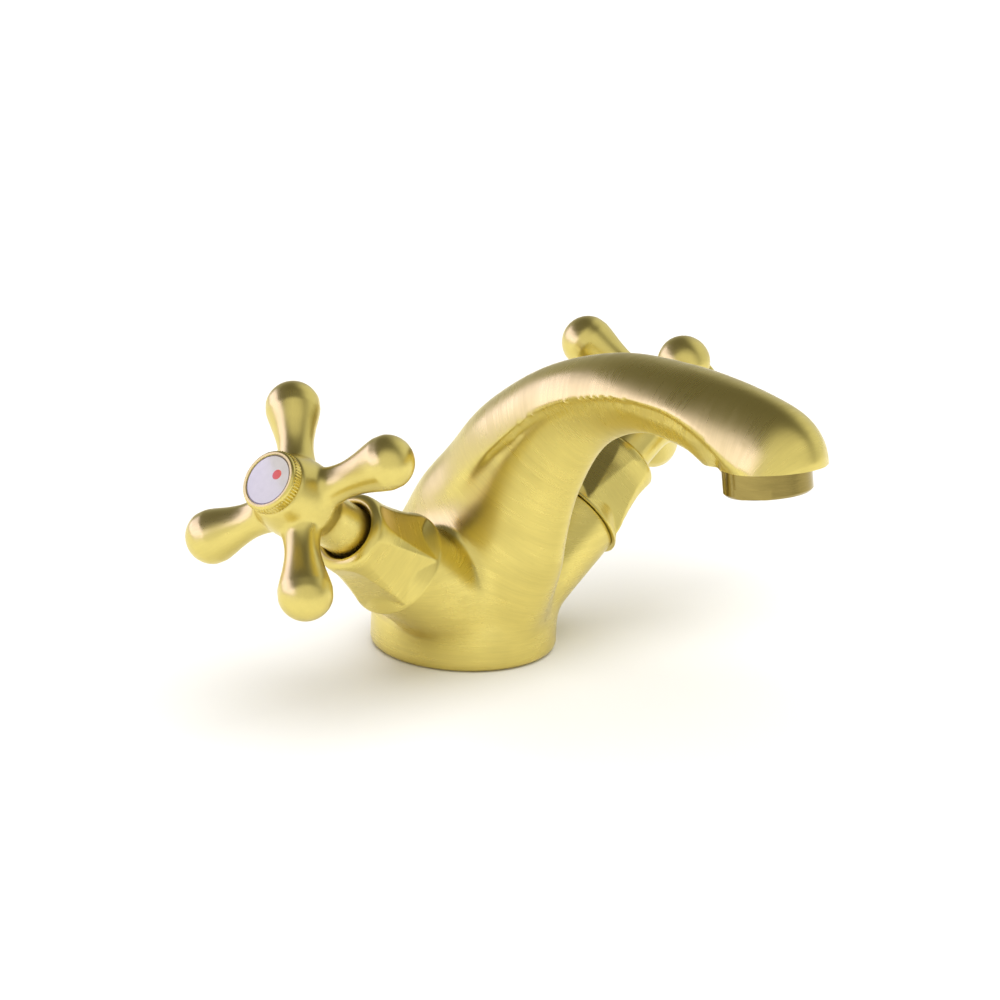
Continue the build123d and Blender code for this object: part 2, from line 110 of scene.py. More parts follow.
def addLoop(bm, place, segments, radiusAt):
    # one closed ring of corners in turn; radiusAt gives each corner's reach
    made = bmesh.ops.create_circle(bm, cap_ends=False, radius=1, segments=segments)["verts"]
    for v in made:
        v.co = Vector(radiusAt(v.co.copy()))
    bmesh.ops.transform(bm, matrix=place, verts=made)
    return made


def bridgeAll(bm, loops, closeEnds=True):
    # joins each ring to the next, corner to corner
    for low, high in zip(loops, loops[1:]):
        for i in range(len(low)):
            bm.faces.new((low[i - 1], low[i], high[i], high[i - 1]))
    if closeEnds:
        for ring in (loops[0], loops[-1]):
            bm.faces.new(ring)


def roundReach(radius):
    # a plain circle for addLoop
    return lambda co: (co.x * radius * mm, co.y * radius * mm, 0)


def lift(height):
    # a step of height mm along local z
    return Matrix.Translation((0, 0, height * mm))


def addTurned(bm, outline, place, segments=roundCorners):
    # a closed round solid from (radius, height) corners in mm
    loops = [addLoop(bm, place @ lift(h), segments, roundReach(r)) for r, h in outline]
    bridgeAll(bm, loops)


def addRod(bm, place, radius, low, high):
    addTurned(bm, [(radius, low), (radius, high)], place)


def addRing(bm, place, outer, inner, low, high):
    corners = [(outer, low), (outer, high), (inner, high), (inner, low)]
    loops = [addLoop(bm, place @ lift(h), roundCorners, roundReach(r)) for r, h in corners]
    bridgeAll(bm, loops + loops[:1], closeEnds=False)


def toObject(bm, name):
    bmesh.ops.remove_doubles(bm, verts=bm.verts, dist=sameSpot)
    bmesh.ops.recalc_face_normals(bm, faces=bm.faces)
    mesh = bpy.data.meshes.new(name)
    bm.to_mesh(mesh)
    bm.free()
    piece = bpy.data.objects.new(name, mesh)
    bpy.context.scene.collection.objects.link(piece)
    return piece


def bake(piece):
    # leaves the modifiers' result as the piece's own mesh
    graph = bpy.context.evaluated_depsgraph_get()
    mesh = bpy.data.meshes.new_from_object(piece.evaluated_get(graph))
    piece.modifiers.clear()
    old = piece.data
    piece.data = mesh
    mesh.name = old.name
    bpy.data.meshes.remove(old)


def fuse(piece, voxel):
    # melts overlapping closed shapes into one skin
    melt = piece.modifiers.new("melt", "REMESH")
    melt.mode = "VOXEL"
    melt.voxel_size = voxel
    bake(piece)


def soften(piece, passes, weightAt):
    # evens the skin where weightAt is above zero, and leaves it alone elsewhere
    group = piece.vertex_groups.new(name="soft")
    for v in piece.data.vertices:
        weight = weightAt(v.co)
        if weight > 0:
            group.add([v.index], weight, "REPLACE")
    even = piece.modifiers.new("even", "SMOOTH")
    even.vertex_group = "soft"
    even.factor = 0.5
    even.iterations = passes
    bake(piece)
    piece.vertex_groups.clear()


def shadeSmooth(piece, sharpAngle=None):
    for face in piece.data.polygons:
        face.use_smooth = True
    if sharpAngle:
        piece.data.set_sharp_from_angle(angle=radians(sharpAngle))


def settle(piece, body, slot, material, *nodes):
    piece.data.materials.clear()
    piece.data.materials.append(material)
    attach(piece, body)
    if nodes:
        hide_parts(*nodes)


castingShape = {
    # how far the ridge and the keel have gone from the foot to the outlet, and how high, then the
    # cap's half width, its depth to the crease and below it, and the column's half width, in mm
    "stations": [
        (0.012, -0.070, -0.020, -0.070, 14.0, 7.9, 2, 24.8),
        (0.003, 0.145, 0.033, 0.038, 15.0, 10.0, 2, 22.5),
        (0.074, 0.374, 0.104, 0.197, 14.5, 13.0, 2, 16.6),
        (0.152, 0.521, 0.117, 0.276, 14.1, 16.2, 2, 13.8),
        (0.248, 0.691, 0.168, 0.469, 13.8, 16.0, 2, 12.4),
        (0.407, 0.863, 0.291, 0.661, 13.5, 12.8, 2, 11.8),
        (0.587, 0.968, 0.498, 0.757, 13.6, 10.6, 2, 11.8),
        (0.756, 0.997, 0.719, 0.748, 13.8, 9.5, 2, 12.0),
        (0.883, 0.998, 0.844, 0.702, 14.2, 11.5, 3, 12.2),
        (0.993, 0.984, 0.977, 0.745, 14.4, 15.3, 8, 12.2),
        (1.062, 0.960, 1.061, 0.740, 13.9, 15.8, 9, 11.0),
        (1.105, 0.918, 1.111, 0.720, 12.3, 15.2, 9, 9.0),
        (1.124, 0.868, 1.140, 0.700, 10.0, 13.2, 7, 6.0),
        (1.131, 0.826, 1.150, 0.690, 6.4, 9.2, 5, 3.0),
    ],
    "creaseFacing": 28,
    "columnTuck": 3,
    "keelNarrowing": 0.3,
    "capStarts": 1,
    "columnEnds": 9,
    "footHeight": 12,
    "footEdge": 2.2,
    "bossRadius": 14.2,
    "bossRoot": 14.6,
    "bossFace": -46.25,
    "crossing": -88.3,
    "spare": 5,
    "spoutReach": 112,
    "aeratorDrop": 5.8,
    "noseFlat": 23.0,
    "noseRaised": 1.6,
    "seatRadius": 12.8,
    "seatDepth": 9,
    "rowSteps": 8,
    "sectionCorners": 64,
    "eggPower": 0.95,
    "tuckOver": 2,
    "voxel": 0.75,
    # passes, and how far they reach from the valve chambers and the middle between them
    "evening": ((6, "all"), (120, 40)),
    "valveMiddle": (0.020, -0.0075, 0.026),   # in metres
    "fade": 0.45,
    "sharpAngle": 40,
}


def castingRows():
    shape = castingShape
    rise = archTop / mm - shape["footHeight"]
    foot = footRadius / mm
    rows = []
    for ridgeOut, ridgeUp, keelOut, keelUp, *sizes in shape["stations"]:
        rows.append([
            foot - ridgeOut * (foot + shape["spoutReach"]), shape["footHeight"] + ridgeUp * rise,
            -foot - keelOut * (shape["spoutReach"] - foot), shape["footHeight"] + keelUp * rise,
            *sizes,
        ])
    return rows


def ridgeAndKeel(row):
    ridgeY, ridgeZ, keelY, keelZ = row[:4]
    return Vector((0, ridgeY, ridgeZ)), Vector((0, keelY, keelZ))


def sectionPlace(centre, up):
    # plane across the spout: local x is the tap's x, local y points from keel to ridge
    across = Vector((1, 0, 0))
    place = Matrix((across, up, across.cross(up))).transposed().to_4x4()
    place.translation = centre
    return place


def capReach(wide, deep, under):
    # a round back down to the crease on each side, closed below it
    edge = radians(castingShape["creaseFacing"])

    def corner(co):
        turn = atan2(co.y, co.x)
        if turn < 0:
            return (wide * cos(turn) * mm, under * sin(turn) * mm, 0)
        swing = edge + turn / pi * (pi - 2 * edge)
        x = wide * cos(swing) / cos(edge)
        y = deep * (sin(swing) - sin(edge)) / (1 - sin(edge))
        return (x * mm, y * mm, 0)
    return corner


def eggReach(wide, deep):
    # a full oval that narrows towards the keel
    def corner(co):
        power = castingShape["eggPower"]
        x = abs(co.x) ** power * (1 if co.x > 0 else -1)
        y = abs(co.y) ** power * (1 if co.y > 0 else -1)
        narrow = 1 - castingShape["keelNarrowing"] * max(0, -co.y)
        return (x * wide * narrow * mm, y * deep * mm, 0)
    return corner


def buildCasting():
    shape = castingShape
    rows = castingRows()
    bm = bmesh.new()
    # rounded cap
    loops = []
    for row in smoothRows(rows[shape["capStarts"]:], shape["rowSteps"]):
        ridge, keel = ridgeAndKeel(row)
        wide, deep, under = row[4:7]
        up = (ridge - keel).normalized()
        place = sectionPlace((ridge - up * deep) * mm, up)
        loops.append(addLoop(bm, place, shape["sectionCorners"], capReach(wide, deep, under)))
    bridgeAll(bm, loops)
    # column and web
    loops = []
    counted = [[i] + row for i, row in enumerate(rows)][:shape["columnEnds"] + 1]
    for count, *row in smoothRows(counted, shape["rowSteps"]):
        ridge, keel = ridgeAndKeel(row)
        column = row[7]
        up = (ridge - keel).normalized()
        tucked = min(1, max(0, count - 1) / shape["tuckOver"])
        rear = ridge - up * shape["columnTuck"] * tucked
        place = sectionPlace((rear + keel) * 0.5 * mm, up)
        egg = eggReach(column, (rear - keel).length / 2)
        loops.append(addLoop(bm, place, shape["sectionCorners"], egg))
    bridgeAll(bm, loops)
    # foot and valve bosses, left long so that their ends are cut clean after the skin is evened
    spare, foot = shape["spare"], footRadius / mm
    addRod(bm, Matrix(), foot, -spare, shape["footHeight"])
    for side in branch:
        low, high = shape["crossing"] + shape["bossRadius"] / 2, shape["bossFace"] + spare
        addTurned(bm, [(shape["bossRoot"], low), (shape["bossRadius"], high)], branch[side])
    # the seat that carries the aerator
    addRod(bm, outletPlace(), shape["seatRadius"], -shape["seatDepth"], spare)
    piece = toObject(bm, "castBody")
    fuse(piece, shape["voxel"] * mm)
    print("casting fused:", len(piece.data.vertices), "vertices")
    for passes, reach in shape["evening"]:
        soften(piece, passes, lambda co: castingSoftness(co, reach))
    cutAway(piece, castingCutters())
    roundFoot(piece)
    brushLines(piece)
    shadeSmooth(piece, shape["sharpAngle"])
    print("casting done:", len(piece.data.vertices), "vertices")
    return piece


def castingSoftness(co, reach):
    # strong where the branches, the column and the foot flow together, light along the spout
    if reach == "all":
        return 1
    out, front, height = castingShape["valveMiddle"]
    junction = min((co - Vector((way * out, front, height))).length for way in (-1, 0, 1))
    return max(0, min(1, (reach * mm - junction) / (castingShape["fade"] * reach * mm)))


# bores and faces cut in the casting, in mm: (radius, from, to) along each one's own axis
castingCuts = {
    "deck": [(150, -100, 0)],
    "inlets": [(4.5, -1, 12)],
    "stud": [(3.4, -1, 16)],
    "nose": [(castingShape["noseFlat"], -castingShape["noseRaised"], castingShape["noseFlat"])],
    "socket": [(11.6, -8, 1)],
    "branch": [(24, castingShape["bossFace"], -20), (11.6, -47.2, -40), (10.3, -68, -40),
               (4.6, -72, -60)],
    "gasket": (24.25, 20.15, -1, 2.0),       # outer, inner, from, to
    "inletSpacing": 20,
    "inletFront": 7.5,
    "studBack": 9,
}


def castingCutters():
    cuts = castingCuts
    spots = [(Matrix(), cuts["deck"]), (outletPlace(), cuts["nose"]), (outletPlace(), cuts["socket"]),
             (Matrix.Translation((0, cuts["studBack"] * mm, 0)), cuts["stud"])]
    for way in (-1, 1):
        inlet = Vector((way * cuts["inletSpacing"] / 2, -cuts["inletFront"], 0)) * mm
        spots.append((Matrix.Translation(inlet), cuts["inlets"]))
    spots += [(branch[side], cuts["branch"]) for side in branch]
    bm = bmesh.new()
    for place, rods in spots:
        for radius, low, high in rods:
            addRod(bm, place, radius, low, high)
    addRing(bm, Matrix(), *cuts["gasket"])
    return toObject(bm, "castCutters")


def outletPlace():
    # local z follows the water, the origin is on the spout's underside
    across = Vector((1, 0, 0))
    place = Matrix((across, outletWay.cross(across), outletWay)).transposed().to_4x4()
    place.translation = outletMouth - outletWay * castingShape["aeratorDrop"] * mm
    return place


def cutAway(piece, cutter):
    cut = piece.modifiers.new("cut", "BOOLEAN")
    cut.operation = "DIFFERENCE"
    cut.solver = "EXACT"
    cut.object = cutter
    cut.use_self = True
    bake(piece)
    bpy.data.objects.remove(cutter)


def roundFoot(piece):
    edge, foot = castingShape["footEdge"] * mm, footRadius
    for v in piece.data.vertices:
        flat = sqrt(v.co.x**2 + v.co.y**2)
        if v.co.z < edge and flat > foot - 2 * edge:
            reach = foot - edge + sqrt(max(0, edge**2 - (edge - v.co.z) ** 2))
            scale = min(1, reach / flat)
            v.co.x *= scale
            v.co.y *= scale


def brushLines(piece):
    # how far each point lies along the way the casting was brushed, and round it
    rows = castingRows()
    way = [Vector((0, 0, 0))]
    for ridgeY, ridgeZ, keelY, keelZ, *_ in smoothRows(rows, 4):
        way.append(Vector((0, (ridgeY + keelY) / 2, (ridgeZ + keelZ) / 2)) * mm)
    lengths = [0.0]
    for a, b in zip(way, way[1:]):
        lengths.append(lengths[-1] + (b - a).length)
    lines = piece.data.attributes.new("brushLine", "FLOAT_VECTOR", "POINT")
    for v in piece.data.vertices:
        best = None
        for i in range(len(way) - 1):
            a, b = way[i], way[i + 1]
            run = b - a
            share = max(0, min(1, (v.co - a).dot(run) / run.length_squared))
            away = (v.co - a - run * share).length
            if best is None or away < best[0]:
                best = (away, lengths[i] + run.length * share)
        lines.data[v.index].vector = (best[1], v.co.x, best[0])


hoodShape = {
    # (distance from the mouth as a share of the hood's length, radius in mm)
    "bell": ((0.0, 9.3), (0.02, 10.4), (0.06, 11.25), (0.12, 11.5), (0.3, 11.6), (0.42, 11.95),
             (0.58, 12.75), (0.73, 13.7), (0.87, 14.75), (1.0, 15.5)),
    "flatCut": ((0.0, -0.6), (0.06, 0.1), (0.2, 0.6), (0.5, 1.1), (0.8, 1.75), (1.0, 2.4)),
    "mouth": -21.5,
    "rear": -46.0,
    "rearRadius": 15.2,
    "flareLength": 4.2,
    "flareWidth": 2.6,
    "flareFrom": 0.5,
    "firstCorner": 17.3,
    "bore": 8.15,
    "mouthEdge": ((0, 1.0), (0.25, 0.35), (0.75, 0)),      # wider than the bore, behind the mouth
    "thread": 9.1,
    "cavity": 11.8,
    "threadFrom": -32.7,
    "cavityFrom": -39.9,
    "turns": 192,
    "rows": 60,
    "crowdedRows": 8,      # rows that crowd towards the mouth
    "crowding": 1.25,
    "sharpAngle": 50,
}


def along(points, share):
    # straight steps between the points of a short table
    for (a, low), (b, high) in zip(points, points[1:]):
        if share <= b:
            return low + (high - low) * (share - a) / (b - a)
    return points[-1][1]


def buildHood(side):
    shape = hoodShape
    bm = bmesh.new()
    length = shape["mouth"] - shape["rear"]
    bell = smoothRows(shape["bell"], 6)
    cut = smoothRows(shape["flatCut"], 6)
    loops = []
    for i in range(shape["rows"] + 1):
        share = i / shape["rows"]
        if i < shape["crowdedRows"]:
            share = share ** shape["crowding"]
        radius = along(bell, share)
        flat = radius - along(cut, share)
        height = shape["mouth"] - length * share
        ahead = height - shape["rear"] - shape["flareFrom"]
        flare = shape["rearRadius"] - ahead * shape["flareWidth"] / shape["flareLength"]

        def reach(co, radius=radius, flat=flat, flare=flare):
            facing = Vector((co.x, co.y)).angle_signed(Vector((1, 0))) - radians(shape["firstCorner"])
            turn = pi / 3 - facing % (pi / 3)
            hexed = flat / max(leastSlant, cos(turn - pi / 6))
            r = min(radius, hexed, shape["rearRadius"])
            r = min(max(r, flare), shape["rearRadius"])
            return (co.x * r * mm, co.y * r * mm, 0)

        loops.append(addLoop(bm, lift(height), shape["turns"], reach))
    inner = [(shape["cavity"], shape["rear"]), (shape["cavity"], shape["cavityFrom"]),
             (shape["thread"], shape["cavityFrom"]), (shape["thread"], shape["threadFrom"]),
             (shape["bore"], shape["threadFrom"])]
    inner += [(shape["bore"] + wider, shape["mouth"] - behind) for wider, behind in shape["mouthEdge"]]
    for radius, height in inner:
        loops.append(addLoop(bm, lift(height), shape["turns"], roundReach(radius)))
    bridgeAll(bm, loops + loops[:1], closeEnds=False)
    piece = toObject(bm, f"{side}BellHood")
    lines = piece.data.attributes.new("brushLine", "FLOAT_VECTOR", "POINT")
    for v in piece.data.vertices:
        lines.data[v.index].vector = v.co
    piece.data.transform(branch[side])
    shadeSmooth(piece, shape["sharpAngle"])
    return piece


handleShape = {
    # the arm's (distance from the hub's middle, radius), and the hub's (radius, height), in mm
    "arm": ((0.0, 7.2), (8.0, 6.0), (13.0, 5.15), (16.5, 5.0), (19.4, 5.35), (22.5, 6.05),
            (25.7, 6.95), (28.2, 7.55)),
    "ballAt": 29.2,
    "ball": 7.7,
    "ballSteps": 12,
    "neckMeets": 0.13,         # the ball goes on round from here, in radians past its widest
    "arms": 4,
    "turn": 37.5,
    "hub": ((7.3, -12.0), (7.6, -9.5), (9.4, -6.0), (11.0, -2.5), (11.4, 1.0), (10.9, 5.0), (10.0, 8.5),
            (9.3, 10.2), (8.9, 10.9)),
    "stem": 7.3,
    "stemEnd": -27.0,
    "stemInHub": 2,
    "voxel": 0.5,
    "armCorners": 64,
    "evening": 50,
    "lastEvening": 6,
    # where the evening is full to none: out along the arms, up to the face and down to the stem, in mm
    "softOut": (20, 6),
    "softUp": (10.2, 1.6),
    "softDown": (12, 3),
}


def buildHandle(side):
    shape = handleShape
    outline = [(r, reach) for reach, r in smoothRows(shape["arm"], 3)]
    for i in range(1, shape["ballSteps"]):
        turn = (pi / 2 - shape["neckMeets"]) * (1 - i / shape["ballSteps"])
        outline.append((shape["ball"] * sin(turn), shape["ballAt"] + shape["ball"] * cos(turn)))
    bm = bmesh.new()
    for k in range(shape["arms"]):
        turn = Matrix.Rotation(radians(shape["turn"] + 360 / shape["arms"] * k), 4, "Z")
        addTurned(bm, outline, turn @ Matrix.Rotation(pi / 2, 4, "Y"), shape["armCorners"])
    addTurned(bm, shape["hub"], Matrix())
    addRod(bm, Matrix(), shape["stem"], shape["stemEnd"], shape["hub"][0][1] + shape["stemInHub"])
    piece = toObject(bm, f"{side}CrossHandle")
    fuse(piece, shape["voxel"] * mm)
    soften(piece, shape["evening"], handleSoftness)
    soften(piece, shape["lastEvening"], lambda co: 1)
    lines = piece.data.attributes.new("brushLine", "FLOAT_VECTOR", "POINT")
    for v in piece.data.vertices:
        turn = (atan2(v.co.y, v.co.x) - radians(shape["turn"])) % (pi / 2)
        reach = sqrt(v.co.x**2 + v.co.y**2)
        lines.data[v.index].vector = (reach * sin(turn if turn < pi / 4 else turn - pi / 2), reach, v.co.z)
    piece.data.transform(branch[side])
    shadeSmooth(piece)
    print(side, "handle:", len(piece.data.vertices), "vertices")
    return piece


def handleSoftness(co):
    # the arms flow into the hub, and their ends keep their shape
    reach = sqrt(co.x**2 + co.y**2) / mm
    height = co.z / mm
    weight = 1
    for way, far in (("softOut", reach), ("softUp", height), ("softDown", -height)):
        limit, fade = handleShape[way]
        weight *= max(0, min(1, (limit - far) / fade))
    return weight


# index buttons: a knurled brass cap, a domed enamel disc and its coloured dot
buttonShape = {
    # (radius, height over the hub's face) in mm, and which of them are knurled
    "side": ((8.3, -0.1), (8.6, 0.1), (8.95, 0.3), (8.95, 2.3), (8.6, 2.5), (8.6, 2.95), (8.4, 3.35),
             (8.0, 3.6), (7.42, 3.6), (7.3, 3.4), (7.3, 2.7)),
    "knurled": (2, 3),
    "knurls": 60,
    "knurlDepth": 0.45,
    "knurlSlope": 3.1,
    "discRadius": 7.26,
    "discRise": 0.5,
    "discEdge": 3.32,
    "discLow": 2.7,
    "discRows": 12,
    "discCorners": 128,
    "dotRadius": 1.45,
    "dotEdge": 0.03,
    "dotTop": ((1.0, 0.045), (0.4, 0.05)),
    "dotCorners": 48,
    "dotOut": 3.2,
    "dotTurn": 41,
    "hubFace": 10.8,
    "sharpAngle": 32,
    "enamelSharpAngle": 50,
}


def buildButton(side):
    shape = buttonShape
    bm = bmesh.new()
    loops = []
    for i, (radius, height) in enumerate(shape["side"]):
        depth = shape["knurlDepth"] if i in shape["knurled"] else 0

        def reach(co, radius=radius, depth=depth):
            away = abs((atan2(co.y, co.x) / (2 * pi) * shape["knurls"]) % 1 - 0.5)
            groove = max(0, 1 - away * shape["knurlSlope"])
            return (co.x * (radius - depth * groove) * mm, co.y * (radius - depth * groove) * mm, 0)

        loops.append(addLoop(bm, lift(shape["hubFace"] + height), 6 * shape["knurls"], reach))
    bridgeAll(bm, loops)
    bmesh.ops.transform(bm, matrix=branch[side], verts=bm.verts)
    piece = toObject(bm, f"{side}IndexButton")
    shadeSmooth(piece, shape["sharpAngle"])
    return piece


def domeHeight(radius):
    # the enamel's height over the hub's face at a radius, both in mm
    shape = buttonShape
    return shape["discEdge"] + shape["discRise"] * (1 - (radius / shape["discRadius"]) ** 2)


def buildDisc(side):
    shape = buttonShape
    outline = [(shape["discRadius"], shape["discLow"])]
    for i in range(shape["discRows"]):
        radius = shape["discRadius"] * cos(pi / 2 * i / shape["discRows"])
        outline.append((radius, domeHeight(radius)))
    outline = [(r, h + shape["hubFace"]) for r, h in outline]
    bm = bmesh.new()
    addTurned(bm, outline, Matrix(), shape["discCorners"])
    piece = toObject(bm, f"{side}EnamelDisc")
    rim = piece.data.attributes.new("fromMiddle", "FLOAT", "POINT")
    for v in piece.data.vertices:
        rim.data[v.index].value = sqrt(v.co.x**2 + v.co.y**2) / mm
    piece.data.transform(branch[side])
    shadeSmooth(piece, shape["enamelSharpAngle"])
    return piece


def buildDot(side):
    shape = buttonShape
    turn = radians(shape["dotTurn"])
    spot = Matrix.Translation(Vector((shape["dotOut"] * cos(turn), shape["dotOut"] * sin(turn), 0)) * mm)
    edge = shape["dotEdge"]
    outline = [(shape["dotRadius"], 0.0), (shape["dotRadius"] - edge, edge), *shape["dotTop"]]
    bm = bmesh.new()
    addTurned(bm, outline, spot, shape["dotCorners"])
    for v in bm.verts:
        v.co.z += (domeHeight(sqrt(v.co.x**2 + v.co.y**2) / mm) + shape["hubFace"]) * mm
    bmesh.ops.transform(bm, matrix=branch[side], verts=bm.verts)
    piece = toObject(bm, f"{side}IndexDot")
    shadeSmooth(piece, shape["enamelSharpAngle"])
    return piece


# the aerator's housing, with two flats for its key
aeratorShape = {
    # (radius, distance down the stream from the spout's underside, whether the key flats are cut here)
    "side": ((11.4, -6.0, 0), (11.4, -1.7, 0), (12.0, -1.7, 0), (12.15, -1.5, 0), (12.15, 3.0, 0),
             (12.15, 3.01, 1), (12.15, 5.1, 1), (11.75, 5.55, 1), (11.45, 5.8, 1), (11.2, 5.8, 0),
             (9.5, 5.8, 0), (9.25, 5.55, 0), (9.25, 4.8, 0), (9.9, 4.8, 0), (9.9, -6.0, 0)),
    "flatAt": 11.0,
    "flatTurn": 22,
    "turns": 192,
    "sharpAngle": 30,
}


def buildAerator():
    shape = aeratorShape
    bm = bmesh.new()
    loops = []
    for radius, down, flat in shape["side"]:

        def reach(co, radius=radius, flat=flat):
            square = abs(cos(atan2(co.y, co.x) + radians(shape["flatTurn"])))
            r = min(radius, shape["flatAt"] / max(square, leastSlant)) if flat else radius
            return (co.x * r * mm, co.y * r * mm, 0)

        loops.append(addLoop(bm, outletPlace() @ lift(down), shape["turns"], reach))
    bridgeAll(bm, loops + loops[:1], closeEnds=False)
    piece = toObject(bm, "aeratorShell")
    shadeSmooth(piece, shape["sharpAngle"])
    return piece


def newMaterial(name):
    material = bpy.data.materials.new(name)
    material.use_nodes = True
    nodes, links = material.node_tree.nodes, material.node_tree.links
    return material, nodes, links, nodes["Principled BSDF"]


def addNoise(nodes, links, spot, scale, detail=3, rough=0.55):
    # scale is a number, or three for streaks
    stretch = nodes.new("ShaderNodeMapping")
    stretch.inputs["Scale"].default_value = scale if isinstance(scale, tuple) else (scale, scale, scale)
    links.new(spot, stretch.inputs["Vector"])
    noise = nodes.new("ShaderNodeTexNoise")
    noise.inputs["Scale"].default_value = 1
    noise.inputs["Detail"].default_value = detail
    noise.inputs["Roughness"].default_value = rough
    links.new(stretch.outputs["Vector"], noise.inputs["Vector"])
    return noise.outputs["Fac"]


def addRange(nodes, links, value, low, high, fromLow=0.3, fromHigh=0.7):
    # noise mostly keeps between 0.3 and 0.7
    spread = nodes.new("ShaderNodeMapRange")
    spread.inputs["From Min"].default_value = fromLow
    spread.inputs["From Max"].default_value = fromHigh
    spread.inputs["To Min"].default_value = low
    spread.inputs["To Max"].default_value = high
    links.new(value, spread.inputs["Value"])
    return spread.outputs["Result"]


def addMath(nodes, links, operation, a, b):
    step = nodes.new("ShaderNodeMath")
    step.operation = operation
    for socket, value in zip(step.inputs, (a, b)):
        if isinstance(value, (int, float)):
            socket.default_value = value
        else:
            links.new(value, socket)
    return step.outputs["Value"]


def addTint(nodes, links, colour, value):
    # the colour times a changing value
    tint = nodes.new("ShaderNodeVectorMath")
    tint.operation = "SCALE"
    tint.inputs[0].default_value = colour
    links.new(value, tint.inputs["Scale"])
    return tint.outputs["Vector"]


# how the brush's fine and broad streaks mix, how they mix with the clouds, and where the mix mostly keeps
brassMix = {
    "fine": 0.5,
    "broad": 0.5,
    "streaks": 0.6,
    "clouds": 0.4,
    "cloudScale": 75,
    "keeps": (0.36, 0.64),
}

# each brass finish: colour, roughness, streak scales, how much the streaks and clouds change
# tone and roughness, and how deep the brush scored it in mm
brassFinishes = {
    "castBrass": dict(colour=(0.74, 0.62, 0.185), rough=0.30, fine=(2600, 130, 130), broad=(520, 55, 55),
                      streaks="brushLine", toneChange=0.10, roughChange=0.07, depth=0.030),
    "handleBrass": dict(colour=(0.74, 0.62, 0.19), rough=0.31, fine=(2600, 110, 2600), broad=(420, 40, 420),
                        streaks="brushLine", toneChange=0.06, roughChange=0.05, depth=0.014),
    "hoodBrass": dict(colour=(0.74, 0.62, 0.185), rough=0.30, fine=(160, 160, 2400), broad=(50, 50, 480),
                      streaks="brushLine", toneChange=0.09, roughChange=0.07, depth=0.022),
    "satinBrass": dict(colour=(0.74, 0.62, 0.185), rough=0.29, fine=(2200, 2200, 2200), broad=(300, 300, 300),
                       streaks=None, toneChange=0.07, roughChange=0.05, depth=0.012),
    # darkPolishedBrass, on the aerator and the polished_brass parts: about half the cast brass's colour, and
    # smoother
    "darkPolishedBrass": dict(colour=(0.36, 0.28, 0.085), rough=0.18, fine=(260, 260, 2600), broad=(90, 90, 900),
                      streaks=None, toneChange=0.16, roughChange=0.06, depth=0.010),
    "turnedBrass": dict(colour=(0.76, 0.63, 0.27), rough=0.30, fine=(1500, 1500, 1500), broad=(250, 250, 250),
                        streaks=None, toneChange=0.06, roughChange=0.05, depth=0.010),
}


def makeBrass(name):
    finish, mix = brassFinishes[name], brassMix
    material, nodes, links, shader = newMaterial(name)
    shader.inputs["Metallic"].default_value = 1
    plain = nodes.new("ShaderNodeTexCoord").outputs["Object"]
    spot = plain
    if finish["streaks"]:
        lines = nodes.new("ShaderNodeAttribute")
        lines.attribute_name = finish["streaks"]
        spot = lines.outputs["Vector"]
    fine = addNoise(nodes, links, spot, finish["fine"], 4, 0.6)
    broad = addNoise(nodes, links, spot, finish["broad"], 3, 0.6)
    clouds = addNoise(nodes, links, plain, mix["cloudScale"], 2)
    streaks = addMath(nodes, links, "MULTIPLY_ADD", fine, mix["fine"])
    links.new(addMath(nodes, links, "MULTIPLY", broad, mix["broad"]), streaks.node.inputs[2])
    patches = addMath(nodes, links, "MULTIPLY_ADD", streaks, mix["streaks"])
    links.new(addMath(nodes, links, "MULTIPLY", clouds, mix["clouds"]), patches.node.inputs[2])
    darker, lighter = 1 - finish["toneChange"], 1 + finish["toneChange"] * 0.5
    tone = addRange(nodes, links, patches, darker, lighter, *mix["keeps"])
    links.new(addTint(nodes, links, finish["colour"], tone), shader.inputs["Base Color"])
    rougher, smoother = finish["rough"] + finish["roughChange"], finish["rough"] - finish["roughChange"]
    rough = addRange(nodes, links, patches, rougher, smoother, *mix["keeps"])
    links.new(rough, shader.inputs["Roughness"])
    bump = nodes.new("ShaderNodeBump")
    bump.inputs["Strength"].default_value = 1
    bump.inputs["Distance"].default_value = finish["depth"] * mm
    links.new(streaks, bump.inputs["Height"])
    links.new(bump.outputs["Normal"], shader.inputs["Normal"])
    return material


# the other finishes: colour, roughness, metal, coat, grain scale and grain depth in mm
plainFinishes = {
    "redMark": dict(colour=(0.60, 0.10, 0.08), rough=0.45, coat=0.1, grain=900, depth=0.002),
    "blueMark": dict(colour=(0.05, 0.13, 0.50), rough=0.45, coat=0.1, grain=900, depth=0.002),
    "lappedCeramic": dict(colour=(0.80, 0.79, 0.75), rough=0.20, grain=1800, depth=0.001),
    "blackRubber": dict(colour=(0.022, 0.022, 0.023), rough=0.66, grain=1600, depth=0.010),
    "redFibre": dict(colour=(0.30, 0.07, 0.04), rough=0.82, grain=1300, depth=0.030),
    "whiteNylon": dict(colour=(0.70, 0.70, 0.68), rough=0.42, grain=1200, depth=0.006),
    "stainlessSteel": dict(colour=(0.55, 0.55, 0.55), rough=0.28, metal=1, grain=2000, depth=0.004),
}


